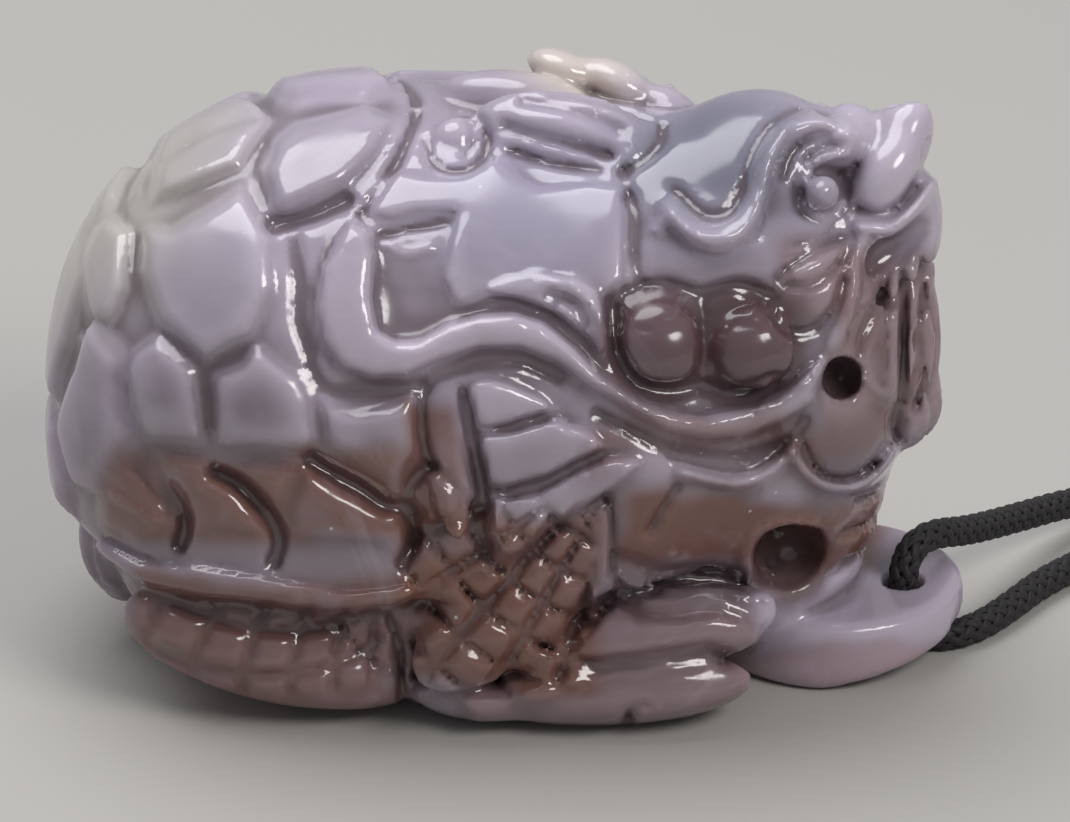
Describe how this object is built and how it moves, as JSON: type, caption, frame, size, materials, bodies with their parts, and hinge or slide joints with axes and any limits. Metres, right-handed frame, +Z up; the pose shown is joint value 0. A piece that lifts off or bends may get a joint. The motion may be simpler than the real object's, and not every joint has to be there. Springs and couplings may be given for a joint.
{
  "type": "jadeite dragon turtle pendant",
  "caption": "Carved translucent stone pendant shaped as a reclining dragon turtle, with a braided cord loop through the drilled plate under its chin.",
  "frame": {"origin": "centre of the stone's footprint on the plane it rests on", "axes": "+X to the dragon's head along the stone's longest side, +Y away from the carved flank the picture shows, +Z up from the flat base"},
  "size_m": [0.1207, 0.0394, 0.0357],
  "materials": {
    "jadeite": "polished, translucent",
    "cord": "tight round braid"
  },
  "bodies": {
    "root": {"dragon_turtle": "jadeite", "cord": "cord", "cord_knot": "cord"}
  },
  "joints": []
}
